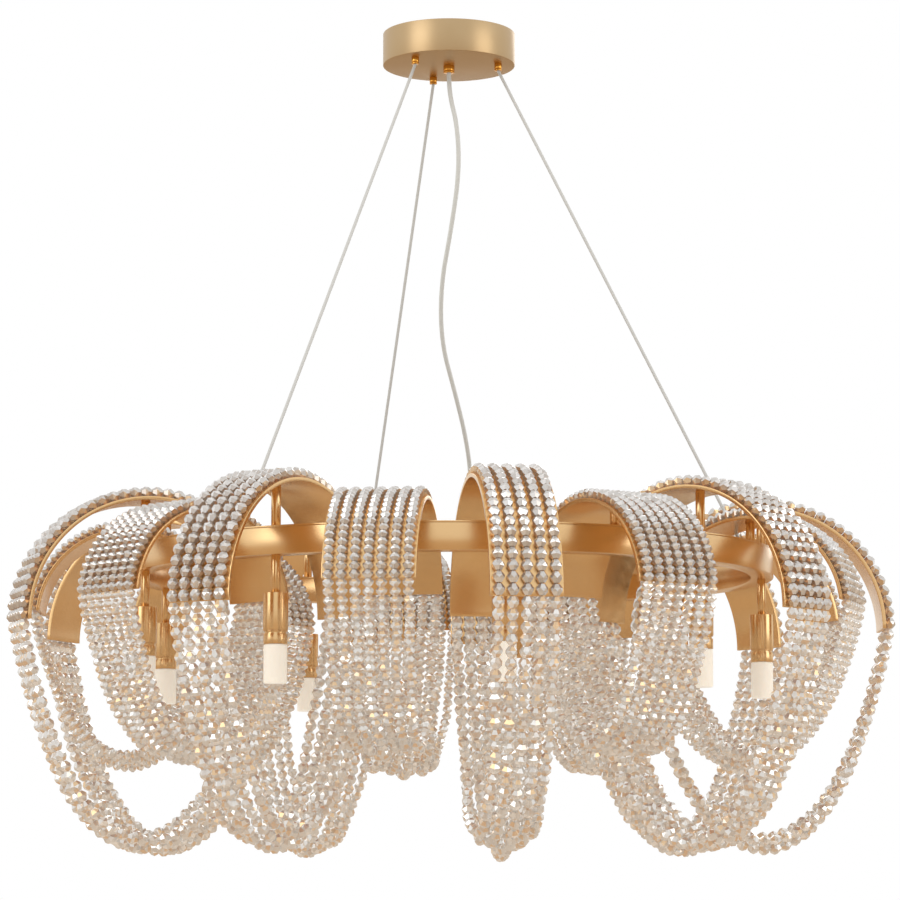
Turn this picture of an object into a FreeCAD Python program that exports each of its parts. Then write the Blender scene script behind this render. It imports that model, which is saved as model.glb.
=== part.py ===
"""Crystal chandelier: a ring of bead-dressed arches hung from a ceiling canopy.

Millimetres, +Z up. The origin is the middle of the ceiling face of the mounting
bracket, so everything lies below z = 0. Azimuths are measured from the front (-Y),
positive towards +X.
"""
import FreeCAD
import Part
import math
import os

from FreeCAD import Vector

# ---------------------------------------------------------------- driving sizes
# Ceiling fitting
canopy_diameter = 150.0
canopy_height = 37.0
canopy_wall = 1.5
canopy_floor = 2.0
canopy_ceiling_gap = 0.5
bracket_width = 24.0
bracket_thickness = 2.5
bracket_tab_height = 14.0
bracket_hole_spacing = 70.0
bracket_hole_radius = 2.75
bracket_wall_gap = 0.2
side_hole_length = 13.0
canopy_screw_radius = 2.0
canopy_screw_length = 6.0
terminal_block_length = 34.0
terminal_block_width = 18.0
terminal_block_height = 14.0
terminal_block_offset = 34.0
terminal_well_radius = 2.2
terminal_well_depth = 4.0
terminal_well_spacing = 10.0

# Suspension cables and power cord
cable_diameter = 3.5
cable_arches = (8, 2, 5)
cable_arch_gap = 5.3
gripper_circle_radius = 57.0
gripper_diameter = 8.5
gripper_height = 8.0
stem_diameter = 6.0
stem_height = 8.0
lug_depth = 7.0
lug_width = 10.0
lug_height = 16.0
lug_top_drop = 5.0
gland_diameter = 12.8
gland_height = 8.0
gland_stem_diameter = 9.0
cord_diameter = 5.2
cord_bend_share = 0.45
grommet_diameter = 11.0

# Ring
ring_top_drop = 595.0
ring_middle_radius = 350.0
ring_width = 25.0
ring_height = 30.0
ring_wall = 2.0
ring_cover_thickness = 2.0

# Arches: tall and short ones take turns round the ring
arch_pairs = 9
first_azimuth = 9.3
arch_plate = 3.0
arch_edge_margin = 0.8
bead_seat_gap = 0.3
tall_arch_radius = 134.5
tall_arch_offset = 0.0
tall_arch_centre_drop = 87.0
tall_arch_end_rise = 0.0
tall_arch_twist = -0.9
tall_arch_width = 73.0
tall_string_count = 5
tall_bead_diameter = 11.0
tall_loop_sag = 250.0
tall_loop_rise = 12.0
tall_loop_draw = 0.12
short_arch_radius = 101.0
short_arch_offset = 8.0
short_arch_centre_drop = 77.0
short_arch_end_rise = 10.0
short_arch_twist = 3.4
short_arch_width = 95.0
short_string_count = 7
short_bead_diameter = 10.6
short_loop_sag = 169.0
short_loop_rise = 8.0
short_loop_draw = 0.12

# Rods, lamp cups and lamps
rod_diameter = 10.0
nut_across_flats = 10.0
nut_height = 3.0
nut_clearance = 0.1
cup_drop = 39.0
cup_diameter = 26.0
cup_wall = 1.0
cup_top = 2.0
cup_length = 39.0
flange_length = 1.0
neck_length = 2.5
neck_diameter = 22.4
collar_length = 10.5
collar_inset = 0.5
collar_wall = 1.5
holder_diameter = 21.0
holder_length = 30.0
lamp_diameter = 24.4
lamp_length = 40.2
lamp_base_length = 14.0
lamp_base_width = 8.0
lamp_base_height = 27.0
lamp_pin_width = 1.2
lamp_pin_depth = 2.4
lamp_pin_height = 7.0
lamp_pin_spacing = 9.0
lamp_clearance = 0.3

# How finely the bead strings are drawn
band_steps = 10
tall_loop_steps = 6
short_loop_steps = 5
loop_crowding = 0.75

# ---------------------------------------------------------------- levels
canopy_bottom = -canopy_height
fitting_bottom = canopy_bottom - gripper_height
ring_top = -ring_top_drop
ring_bottom = ring_top - ring_height
cover_bottom = ring_top - ring_cover_thickness
ring_inner = ring_middle_radius - ring_width / 2
ring_outer = ring_middle_radius + ring_width / 2
cup_top_level = ring_bottom - cup_drop
cup_bottom_level = cup_top_level - cup_length
collar_top_level = cup_bottom_level - flange_length - neck_length
collar_bottom_level = collar_top_level - collar_length
holder_top_level = cup_top_level - cup_top
holder_bottom_level = holder_top_level - holder_length
lamp_top_level = collar_bottom_level - lamp_clearance
arch_spacing = 360.0 / (2 * arch_pairs)
tall_azimuths = [first_azimuth + 2 * arch_spacing * i for i in range(arch_pairs)]
short_azimuths = [azimuth + arch_spacing for azimuth in tall_azimuths]
tall_centre_radius = ring_middle_radius + tall_arch_offset
short_centre_radius = ring_middle_radius + short_arch_offset

# Each cable comes down beside a short arch, clear of its edge
cable_side = math.degrees(math.asin((short_arch_width / 2 + cable_arch_gap)
                                    / (ring_inner - lug_depth / 2)))
cable_azimuths = [short_azimuths[number - 1] + cable_side for number in cable_arches]

# The hanging power cord, chosen point by point from the gland to the ring
cord_route = [
    (0.0, 0.0, fitting_bottom),
    (0.0, 0.0, -68.0),
    (9.5, 3.5, -104.0),
    (12.0, 22.0, -153.0),
    (3.0, 58.0, -212.0),
    (-9.5, 103.0, -272.0),
    (-9.0, 150.0, -331.0),
    (7.0, 200.0, -383.0),
    (20.5, 250.0, -431.0),
    (27.5, 297.0, -477.0),
    (20.0, 334.0, -522.0),
    (11.0, 350.0, -561.0),
    (11.0, 350.0, -589.0),
]


# ---------------------------------------------------------------- helpers
def turned(shape, azimuth):
    """A copy of a shape drawn along +X, turned to stand at an azimuth."""
    copy = shape.copy()
    copy.rotate(Vector(0, 0, 0), Vector(0, 0, 1), azimuth - 90.0)
    return copy


def cylinder(radius, bottom, top, x=0.0, y=0.0):
    """An upright cylinder between two levels."""
    return Part.makeCylinder(radius, top - bottom, Vector(x, y, bottom))


def box(x_low, x_high, y_low, y_high, z_low, z_high):
    """A block between its low and high corners."""
    return Part.makeBox(
        x_high - x_low, y_high - y_low, z_high - z_low, Vector(x_low, y_low, z_low)
    )


def hex_nut(across_flats, height, bore_radius, bottom, x=0.0, y=0.0):
    """A hexagon nut with its bore, standing on a level."""
    corner = across_flats / math.sqrt(3)
    points = [
        Vector(x + corner * math.cos(math.radians(60 * i)),
               y + corner * math.sin(math.radians(60 * i)), bottom)
        for i in range(7)
    ]
    body = Part.Face(Part.makePolygon(points)).extrude(Vector(0, 0, height))
    return body.cut(cylinder(bore_radius, bottom - 1, bottom + height + 1, x, y))


def export(name, solids):
    """Write one node, as a single solid or a group of separate ones."""
    shape = solids[0] if len(solids) == 1 else Part.makeCompound(solids)
    shape.exportStep("parts/" + name + ".step")


# ---------------------------------------------------------------- ceiling fitting
def canopy_cover():
    """The round canopy: a shallow open-topped can with holes for its fittings."""
    radius = canopy_diameter / 2
    can = cylinder(radius, canopy_bottom, -canopy_ceiling_gap)
    can = can.cut(cylinder(radius - canopy_wall, canopy_bottom + canopy_floor, 1))
    holes = [cylinder(gland_stem_diameter / 2 + nut_clearance, canopy_bottom - 1,
                      canopy_bottom + canopy_floor + 1)]
    for azimuth in cable_azimuths:
        hole = cylinder(stem_diameter / 2 + nut_clearance, canopy_bottom - 1,
                        canopy_bottom + canopy_floor + 1, gripper_circle_radius)
        holes.append(turned(hole, azimuth))
    for side in (-1, 1):
        holes.append(side_hole(side))
    return can.cut(holes)


def side_hole(side):
    """The screw hole through the canopy's wall and the bracket's tab."""
    level = -bracket_thickness - bracket_tab_height / 2
    start = canopy_diameter / 2 + canopy_wall - side_hole_length
    return Part.makeCylinder(canopy_screw_radius + nut_clearance, side_hole_length,
                             Vector(side * start, 0, level), Vector(side, 0, 0))


def ceiling_bracket():
    """The strap that is bolted to the ceiling, with two turned-down tabs."""
    reach = canopy_diameter / 2 - canopy_wall - bracket_wall_gap
    half = bracket_width / 2
    strap = box(-reach, reach, -half, half, -bracket_thickness, 0)
    tab_bottom = -bracket_thickness - bracket_tab_height
    left = box(-reach, -reach + bracket_thickness, -half, half, tab_bottom, 0)
    right = box(reach - bracket_thickness, reach, -half, half, tab_bottom, 0)
    rounding = cylinder(reach, tab_bottom - 1, 1)
    strap = strap.fuse([left, right]).removeSplitter().common(rounding)
    holes = [cylinder(bracket_hole_radius, -bracket_thickness - 1, 1,
                      side * bracket_hole_spacing / 2) for side in (-1, 1)]
    holes += [side_hole(side) for side in (-1, 1)]
    return strap.cut(holes)


def canopy_screws():
    """Two headless screws, flush with the canopy, that hold it to the bracket."""
    level = -bracket_thickness - bracket_tab_height / 2
    face = canopy_diameter / 2
    return [Part.makeCylinder(canopy_screw_radius, canopy_screw_length,
                              Vector(side * (face - canopy_screw_length), 0, level),
                              Vector(side, 0, 0)) for side in (-1, 1)]


def terminal_block():
    """The connector block on the canopy's floor."""
    half = terminal_block_length / 2
    low = terminal_block_offset - terminal_block_width / 2
    floor = canopy_bottom + canopy_floor
    block = box(-half, half, low, low + terminal_block_width, floor,
                floor + terminal_block_height)
    wells = []
    for step in (-1, 0, 1):
        wells.append(cylinder(terminal_well_radius,
                              floor + terminal_block_height - terminal_well_depth,
                              floor + terminal_block_height + 1,
                              step * terminal_well_spacing, terminal_block_offset))
    return block.cut(wells)


# ---------------------------------------------------------------- cables and cord
def cable_gripper():
    """A cable gripper under the canopy, with its stem through the floor."""
    body = cylinder(gripper_diameter / 2, fitting_bottom, canopy_bottom,
                    gripper_circle_radius)
    stem = cylinder(stem_diameter / 2, canopy_bottom,
                    canopy_bottom + canopy_floor + stem_height, gripper_circle_radius)
    return body.fuse(stem)


def stem_nut(x):
    """The nut that locks a gripper's stem inside the canopy."""
    return hex_nut(nut_across_flats, nut_height,
                   stem_diameter / 2 + nut_clearance, canopy_bottom + canopy_floor, x)


def cable_lug():
    """The lug on the ring's inner wall that takes a cable's lower end."""
    top = ring_top - lug_top_drop
    block = box(ring_inner - lug_depth, ring_inner + lug_depth,
                -lug_width / 2, lug_width / 2, top - lug_height, top)
    return block.common(cylinder(ring_inner, top - lug_height - 1, top + 1))


def suspension_cable():
    """One straight cable from its gripper's face down to its lug's top."""
    top = Vector(gripper_circle_radius, 0, fitting_bottom)
    foot = Vector(ring_inner - lug_depth / 2, 0, ring_top - lug_top_drop)
    along = top.sub(foot)
    over = along * (cable_diameter / along.Length)
    cable = Part.makeCylinder(cable_diameter / 2, along.Length + 2 * cable_diameter,
                              foot.sub(over), along)
    reach = ring_outer
    return cable.common(box(0, reach, -reach, reach, foot.z, top.z))


def cord_gland():
    """The gland under the canopy that lets the power cord out."""
    body = cylinder(gland_diameter / 2, canopy_bottom - gland_height, canopy_bottom)
    stem = cylinder(gland_stem_diameter / 2, canopy_bottom,
                    canopy_bottom + canopy_floor + stem_height)
    return body.fuse(stem)


def ring_grommet():
    """The bush on the ring's cover that takes the power cord in."""
    foot = cord_route[-1]
    return cylinder(grommet_diameter / 2, ring_top, foot[2], foot[0], foot[1])


def power_cord():
    """A tube of straight runs joined by arcs as wide as the runs allow."""
    points = [Vector(*p) for p in cord_route]
    edges = []
    start = points[0]
    for before, corner, after in zip(points, points[1:], points[2:]):
        arrive = corner.sub(before)
        leave = after.sub(corner)
        half_turn = arrive.getAngle(leave) / 2
        cut = cord_bend_share * min(arrive.Length, leave.Length)
        radius = cut / math.tan(half_turn)
        first = corner.sub(arrive * (cut / arrive.Length))
        last = corner.add(leave * (cut / leave.Length))
        inward = last.sub(corner).add(first.sub(corner))
        depth = radius / math.cos(half_turn) - radius
        middle = corner.add(inward * (depth / inward.Length))
        edges.append(Part.LineSegment(start, first).toShape())
        edges.append(Part.Arc(first, middle, last).toShape())
        start = last
    edges.append(Part.LineSegment(start, points[-1]).toShape())
    path = Part.Wire(edges)
    circle = Part.Wire(Part.Circle(points[0], points[1].sub(points[0]),
                                   cord_diameter / 2).toShape())
    return path.makePipeShell([circle], True, False)


# ---------------------------------------------------------------- ring
def ring_channel():
    """The ring's U-shaped channel, open at its top."""
    ring = cylinder(ring_outer, ring_bottom, cover_bottom)
    ring = ring.cut(cylinder(ring_inner, ring_bottom - 1, ring_top + 1))
    floor = ring_bottom + ring_wall
    trough = cylinder(ring_outer - ring_wall, floor, ring_top + 1)
    trough = trough.cut(cylinder(ring_inner + ring_wall, floor - 1, ring_top + 2))
    return ring.cut(trough)


def ring_cover():
    """The flat lid that closes the channel and carries every arch's post."""
    lid = cylinder(ring_outer, cover_bottom, ring_top)
    return lid.cut(cylinder(ring_inner, cover_bottom - 1, ring_top + 1))


# ---------------------------------------------------------------- arches
def arch(radius, centre_radius, centre_level, end_rise, width):
    """A half-round metal band standing across the ring, cut level at its ends."""
    half = width / 2

    def disc(reach, side):
        return Part.makeCylinder(reach, 2 * side, Vector(centre_radius, -side, centre_level),
                                 Vector(0, 1, 0))

    band = disc(radius, half).cut(disc(radius - arch_plate, half + 1))
    return band.common(box(centre_radius - radius, centre_radius + radius, -half, half,
                           centre_level + end_rise, centre_level + radius + 1))


def placed(shape, centre_radius, twist, azimuth):
    """A copy of an arch's piece, twisted about the arch's own middle and turned."""
    copy = shape.copy()
    copy.rotate(Vector(centre_radius, 0, 0), Vector(0, 0, 1), twist)
    return turned(copy, azimuth)


# ---------------------------------------------------------------- bead strings
def quad(a, b, c, d):
    """Faces that fill four corners: one flat face, or two triangles."""
    lift = b.sub(a).cross(c.sub(a))
    if abs(lift.dot(d.sub(a))) < 1e-6 * lift.Length:
        return [Part.Face(Part.makePolygon([a, b, c, d, a]))]
    return [Part.Face(Part.makePolygon([a, b, c, a])),
            Part.Face(Part.makePolygon([a, c, d, a]))]


def skinned(sections):
    """A closed solid through a row of sections with as many corners each."""
    faces = []
    count = len(sections[0])
    for one, two in zip(sections, sections[1:]):
        for i in range(count):
            j = (i + 1) % count
            faces += quad(one[i], one[j], two[j], two[i])
    for end in (sections[0], sections[-1]):
        faces.append(Part.Face(Part.makePolygon(end + [end[0]])))
    solid = Part.Solid(Part.Shell(faces))
    solid.fix(1e-4, 1e-4, 1e-4)
    if solid.Volume < 0:
        solid.reverse()
    return solid


def bead_band(radius, centre_radius, centre_level, end_rise, half_width, bead):
    """The strings where they lie side by side on the outside of a band."""
    first = math.asin(end_rise / (radius + bead_seat_gap + bead / 2))
    step = (math.pi - 2 * first) / band_steps
    inner = (radius + bead_seat_gap) / math.cos(step / 2)
    outer = radius + bead_seat_gap + bead
    sections = []
    for i in range(band_steps + 1):
        corners = []
        for reach in (inner, outer):
            if i in (0, band_steps):
                rise = end_rise
                across = math.copysign(math.sqrt(reach ** 2 - rise ** 2),
                                       band_steps / 2 - i)
            else:
                rise = reach * math.sin(first + i * step)
                across = reach * math.cos(first + i * step)
            corners.append((centre_radius + across, centre_level + rise))
        (low_x, low_z), (high_x, high_z) = corners
        sections.append([Vector(low_x, -half_width, low_z),
                         Vector(high_x, -half_width, high_z),
                         Vector(high_x, half_width, high_z),
                         Vector(low_x, half_width, low_z)])
    return skinned(sections)


def catenary_size(half_span, sag):
    """The catenary's parameter for a chain of a given half span and sag."""
    low, high = half_span / 50.0, half_span * 50.0
    for _ in range(80):
        middle = (low + high) / 2
        if middle * (math.cosh(min(half_span / middle, 700.0)) - 1) > sag:
            low = middle
        else:
            high = middle
    return (low + high) / 2


def bead_string(centre_radius, half_span, foot, sag, side_top, side_foot, bead, steps):
    """One string's free loop below a band, as a four-sided hanging tube."""
    size = catenary_size(half_span, sag)
    line = []
    for i in range(steps + 1):
        share = 1 - 2.0 * i / steps
        across = half_span * math.copysign(abs(share) ** loop_crowding, share)
        rise = size * (math.cosh(across / size) - 1)
        share = 1 - rise / sag
        side = side_top + (side_foot - side_top) * share
        line.append(Vector(centre_radius + across, side, foot - sag + rise))
    sections = []
    for i, point in enumerate(line):
        if i in (0, steps):
            tangent = Vector(0, 0, -1 if i == 0 else 1)
            widen = 1.0
        else:
            before = point.sub(line[i - 1]).normalize()
            after = line[i + 1].sub(point).normalize()
            tangent = before.add(after).normalize()
            widen = 1 / math.cos(before.getAngle(after) / 2)
        normal = tangent.cross(Vector(0, 1, 0)).normalize()
        across = normal.cross(tangent)
        reach = bead / 2
        sections.append([point.add(normal * (reach * widen)), point.add(across * reach),
                         point.sub(normal * (reach * widen)), point.sub(across * reach)])
    return skinned(sections)


def bead_dress(radius, centre_radius, centre_level, end_rise, width, strings, bead,
               sag, rise, draw, steps):
    """Everything threaded on one arch: the bead band and its hanging loops."""
    pitch = (width - 2 * arch_edge_margin) / strings
    half_width = (strings - 1) * pitch / 2 + bead / 2
    solids = [bead_band(radius, centre_radius, centre_level, end_rise, half_width, bead)]
    reach = radius + bead_seat_gap + bead / 2
    half_span = math.sqrt(reach ** 2 - end_rise ** 2)
    middle = (strings - 1) / 2
    for i in range(strings):
        offset = (i - middle) * pitch
        share = abs(i - middle) / middle
        solids.append(bead_string(centre_radius, half_span, centre_level + end_rise,
                                  sag - rise * share, offset, offset * (1 - draw),
                                  bead, steps))
    return solids


# ---------------------------------------------------------------- posts and lamps
def arch_post(radius, centre_radius, centre_level, twist):
    """A post on the ring's cover, cut at its top to the underside of an arch."""
    reach = radius - arch_plate
    post = cylinder(rod_diameter / 2, ring_top, centre_level + reach,
                    ring_middle_radius)
    under = Part.makeCylinder(reach, 2 * rod_diameter,
                              Vector(centre_radius, -rod_diameter, centre_level),
                              Vector(0, 1, 0))
    under.rotate(Vector(centre_radius, 0, 0), Vector(0, 0, 1), twist)
    return post.common(under)


def lamp_stem():
    """The stem below the ring that carries a lamp cup."""
    return cylinder(rod_diameter / 2, cup_top_level, ring_bottom, ring_middle_radius)


def lamp_cup():
    """The metal cup at the end of a stem and its collar, as two pieces."""
    x = ring_middle_radius
    radius = cup_diameter / 2
    cup = cylinder(radius, cup_bottom_level, cup_top_level, x)
    cup = cup.cut(cylinder(radius - cup_wall, cup_bottom_level - 1, holder_top_level, x))
    outer = radius - collar_inset
    neck = neck_diameter / 2
    collar = cylinder(outer, collar_bottom_level, collar_top_level, x)
    collar = collar.fuse([
        cylinder(neck, collar_top_level, collar_top_level + neck_length, x),
        cylinder(outer, cup_bottom_level - flange_length, cup_bottom_level, x)])
    collar = collar.cut([
        cylinder(neck - collar_wall, collar_bottom_level - 1, cup_bottom_level + 1, x),
        cylinder(outer - collar_wall, collar_bottom_level - 1,
                 collar_top_level - collar_wall, x)])
    return [cup, collar]


def lampholder():
    """The insulating block inside a cup, with a slot for the lamp's base and pins."""
    x = ring_middle_radius
    block = cylinder(holder_diameter / 2, holder_bottom_level, holder_top_level, x)
    half_x = lamp_base_width / 2 + lamp_clearance
    half_y = lamp_base_length / 2 + lamp_clearance
    top = lamp_top_level + lamp_base_height + lamp_pin_height + lamp_clearance
    return block.cut(box(x - half_x, x + half_x, -half_y, half_y,
                         holder_bottom_level - 1, top))


def lamp():
    """A frosted pin-base lamp that pulls straight down out of its holder."""
    x = ring_middle_radius
    bulb = cylinder(lamp_diameter / 2, lamp_top_level - lamp_length, lamp_top_level, x)
    base_top = lamp_top_level + lamp_base_height
    base = box(x - lamp_base_width / 2, x + lamp_base_width / 2,
               -lamp_base_length / 2, lamp_base_length / 2, lamp_top_level, base_top)
    pins = []
    for side in (-1, 1):
        y = side * lamp_pin_spacing / 2
        pins.append(box(x - lamp_pin_depth / 2, x + lamp_pin_depth / 2,
                        y - lamp_pin_width / 2, y + lamp_pin_width / 2,
                        base_top, base_top + lamp_pin_height))
    return bulb.fuse([base] + pins)


# ---------------------------------------------------------------- assembly
def main():
    """Build every node and write it to its own file."""
    os.makedirs("parts", exist_ok=True)
    export("canopy_cover", [canopy_cover()])
    export("ceiling_bracket", [ceiling_bracket()])
    export("terminal_block", [terminal_block()])
    grippers = [turned(cable_gripper(), azimuth) for azimuth in cable_azimuths]
    lugs = [turned(cable_lug(), azimuth) for azimuth in cable_azimuths]
    export("cable_fittings", grippers + lugs)
    export("cord_gland", [cord_gland(), ring_grommet()])
    for number, azimuth in enumerate(cable_azimuths, 1):
        export("suspension_cable_%d" % number, [turned(suspension_cable(), azimuth)])
    export("power_cord", [power_cord()])
    export("ring_channel", [ring_channel()])
    export("ring_cover", [ring_cover()])

    tall_level = ring_top - tall_arch_centre_drop
    short_level = ring_top - short_arch_centre_drop
    tall_band = arch(tall_arch_radius, tall_centre_radius, tall_level,
                     tall_arch_end_rise, tall_arch_width)
    short_band = arch(short_arch_radius, short_centre_radius, short_level,
                      short_arch_end_rise, short_arch_width)
    tall_dress = bead_dress(tall_arch_radius, tall_centre_radius, tall_level,
                            tall_arch_end_rise, tall_arch_width, tall_string_count,
                            tall_bead_diameter, tall_loop_sag, tall_loop_rise,
                            tall_loop_draw, tall_loop_steps)
    short_dress = bead_dress(short_arch_radius, short_centre_radius, short_level,
                             short_arch_end_rise, short_arch_width, short_string_count,
                             short_bead_diameter, short_loop_sag, short_loop_rise,
                             short_loop_draw, short_loop_steps)

    def tall(shape, azimuth):
        return placed(shape, tall_centre_radius, tall_arch_twist, azimuth)

    def short(shape, azimuth):
        return placed(shape, short_centre_radius, short_arch_twist, azimuth)

    one_lamp = lamp()
    for number, azimuth in enumerate(tall_azimuths, 1):
        export("tall_arch_%d" % number, [tall(tall_band, azimuth)])
        export("tall_beads_%d" % number, [tall(solid, azimuth) for solid in tall_dress])
        export("lamp_%d" % number, [turned(one_lamp, azimuth)])
    for number, azimuth in enumerate(short_azimuths, 1):
        export("short_arch_%d" % number, [short(short_band, azimuth)])
        export("short_beads_%d" % number,
               [short(solid, azimuth) for solid in short_dress])

    tall_post = arch_post(tall_arch_radius, tall_centre_radius, tall_level,
                          tall_arch_twist)
    short_post = arch_post(short_arch_radius, short_centre_radius, short_level,
                           short_arch_twist)
    rods = [turned(tall_post, azimuth) for azimuth in tall_azimuths]
    rods += [turned(short_post, azimuth) for azimuth in short_azimuths]
    rods += [turned(lamp_stem(), azimuth) for azimuth in tall_azimuths]
    export("support_rods", rods)
    export("lamp_cups", [turned(piece, azimuth) for azimuth in tall_azimuths
                         for piece in lamp_cup()])
    export("lampholders", [turned(lampholder(), azimuth) for azimuth in tall_azimuths])
    nuts = [turned(stem_nut(gripper_circle_radius), azimuth)
            for azimuth in cable_azimuths]
    export("fixings", nuts + canopy_screws())


main()
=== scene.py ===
"""Crystal chandelier: the visible finish of a ring of bead-dressed arches.

Everything is in metres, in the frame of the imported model: +Z up, with the origin in
the middle of the ceiling face of the mounting bracket. An azimuth is measured from the
front (-Y) and grows towards +X. A piece that repeats round the ring is drawn once
along +X and then turned to each azimuth in its own mesh.
"""
from __future__ import annotations

import logging
import math
from dataclasses import dataclass
from enum import Enum
from typing import Callable, Dict, List, Optional, Sequence, Tuple

import bmesh
import bpy
import numpy as np
from mathutils import Matrix, Vector

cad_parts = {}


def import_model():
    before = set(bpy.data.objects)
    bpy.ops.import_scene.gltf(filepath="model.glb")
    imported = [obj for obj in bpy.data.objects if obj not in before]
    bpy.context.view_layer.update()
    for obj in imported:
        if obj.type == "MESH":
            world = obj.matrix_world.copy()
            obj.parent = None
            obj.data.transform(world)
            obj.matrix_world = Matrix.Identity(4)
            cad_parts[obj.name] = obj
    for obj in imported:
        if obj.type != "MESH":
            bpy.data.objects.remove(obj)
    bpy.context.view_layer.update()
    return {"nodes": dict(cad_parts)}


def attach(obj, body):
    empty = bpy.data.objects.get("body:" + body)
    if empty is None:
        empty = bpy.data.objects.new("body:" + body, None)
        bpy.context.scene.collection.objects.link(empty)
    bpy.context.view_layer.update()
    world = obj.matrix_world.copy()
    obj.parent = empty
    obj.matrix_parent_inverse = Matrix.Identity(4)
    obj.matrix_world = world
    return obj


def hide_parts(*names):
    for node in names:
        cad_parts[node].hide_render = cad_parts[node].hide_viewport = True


log = logging.getLogger("chandelier")

MM = 0.001
NEARLY = 1e-6
TINY = 1e-9
ROOT_BODY = "root"
# The face attribute that picks each bead facet's painted reflection, shade or
# highlight.
PAINTED_FACET_TONE = "painted_facet_tone"
# The face attribute that raises the beads' painted glow on those that hang free.
PAINTED_GLOW_SHARE = "painted_glow_share"

Colour = Tuple[float, float, float, float]
Piece = bpy.types.Object
Point = Tuple[float, float, float]
Socket = bpy.types.NodeSocket
Tree = bpy.types.NodeTree


# ---------------------------------------------------------------- the whole layout
ARCH_PAIRS = 9
FIRST_AZIMUTH = 9.3
ARCH_SPACING = 360.0 / (2 * ARCH_PAIRS)
CABLE_AZIMUTHS = (-41.6, 78.4, -161.6)
GRIPPER_CIRCLE = 57 * MM
CANOPY_BOTTOM = -37 * MM
FITTING_BOTTOM = -45 * MM
RING_MIDDLE_RADIUS = 350 * MM
RING_TOP = -595 * MM
RING_BOTTOM = -625 * MM
LUG_TOP = -600 * MM
CUP_TOP = -664 * MM
ON_RING = (RING_MIDDLE_RADIUS, 0.0)


def turned(azimuth: float) -> Matrix:
    """The turn that takes a piece drawn along +X to an azimuth."""
    return Matrix.Rotation(math.radians(azimuth - 90.0), 4, "Z")


class ArchKind(Enum):
    """The two sizes of arch that take turns round the ring."""

    TALL = "tall"
    SHORT = "short"

    def azimuths(self) -> List[float]:
        """The azimuths of all arches of this kind, first to last."""
        start = FIRST_AZIMUTH + (ARCH_SPACING if self is ArchKind.SHORT else 0.0)
        return [start + 2 * ARCH_SPACING * i for i in range(ARCH_PAIRS)]

    def turns(self) -> List[Matrix]:
        """The turns that take a piece drawn along +X to each arch of this kind."""
        return [turned(azimuth) for azimuth in self.azimuths()]


# ---------------------------------------------------------------- materials
def linear(hex_colour: str) -> Colour:
    """Turn an sRGB colour, written as "#RRGGBB", to a linear one.

    Args:
        hex_colour: The colour as a person reads it off a swatch.

    Returns:
        Red, green, blue and an alpha of 1, in linear light.
    """
    channels = []
    for start in (1, 3, 5):
        value = int(hex_colour[start:start + 2], 16) / 255.0
        low = value <= 0.04045
        channels.append(value / 12.92 if low else ((value + 0.055) / 1.055) ** 2.4)
    return channels[0], channels[1], channels[2], 1.0


def plug(tree: Tree, node: bpy.types.Node, sockets: Dict[object, object]) -> None:
    """Give a node's inputs, by name or number, a value or another node's output."""
    for key, value in sockets.items():
        if isinstance(value, Socket):
            tree.links.new(value, node.inputs[key])
        else:
            node.inputs[key].default_value = value


def add_node(tree: Tree, kind: str, settings: Optional[Dict[str, object]] = None,
             sockets: Optional[Dict[object, object]] = None) -> bpy.types.Node:
    """Add one node with its settings, its socket values and its links.

    Args:
        tree: The node tree that gets the node.
        kind: The node's type, such as "ShaderNodeTexNoise".
        settings: Attributes of the node, by name.
        sockets: What its inputs get, as plug() takes it.

    Returns:
        The new node.
    """
    node = tree.nodes.new(kind)
    for name, value in (settings or {}).items():
        setattr(node, name, value)
    plug(tree, node, sockets or {})
    return node


def noise(tree: Tree, grain_mm: float, detail: float = 2.0) -> Socket:
    """A noise over the piece's own coordinates, with grains of about one size."""
    place = add_node(tree, "ShaderNodeTexCoord")
    grains = add_node(tree, "ShaderNodeTexNoise", None, {
        "Vector": place.outputs["Object"], "Scale": 1000.0 / grain_mm,
        "Detail": detail})
    return grains.outputs["Fac"]


def between(tree: Tree, share: Socket, low: object, high: float) -> Socket:
    """A value that runs from low to high as the share runs from 0 to 1."""
    value = add_node(tree, "ShaderNodeMapRange", None,
                     {"Value": share, "To Min": low, "To Max": high})
    return value.outputs["Result"]


def blend(tree: Tree, share: Socket, first: str, second: str) -> Socket:
    """A colour that runs from one to another as the share runs from 0 to 1."""
    tint = add_node(tree, "ShaderNodeMix", {"data_type": "RGBA"},
                    {"Factor": share, "A": linear(first), "B": linear(second)})
    return tint.outputs["Result"]


def reckon(tree: Tree, operation: str, first: Socket, second: object) -> Socket:
    """The outcome of one sum on two values."""
    return add_node(tree, "ShaderNodeMath", {"operation": operation},
                    {0: first, 1: second}).outputs[0]


def relief(tree: Tree, height: Socket, strength: float, depth_mm: float) -> Socket:
    """The normal of a surface with a small relief."""
    bump = add_node(tree, "ShaderNodeBump", None, {
        "Height": height, "Strength": strength, "Distance": depth_mm * MM})
    return bump.outputs["Normal"]


@dataclass(frozen=True)
class Finish:
    """A surface: its material's name and the slot of the part that it fills."""

    name: str
    slot: str

    def material(self) -> bpy.types.Material:
        """The material, which is made when a piece first asks for it."""
        material = bpy.data.materials.get(self.name)
        if material is None:
            material = bpy.data.materials.new(self.name)
            material.use_nodes = True
            tree = material.node_tree
            plug(tree, tree.nodes["Principled BSDF"], self.surface(tree))
        return material

    def surface(self, tree: Tree) -> Dict[object, object]:
        """Add the finish's nodes.

        Args:
            tree: The material's node tree.

        Returns:
            What the shader's inputs get, as plug() takes it.
        """
        raise NotImplementedError


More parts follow.
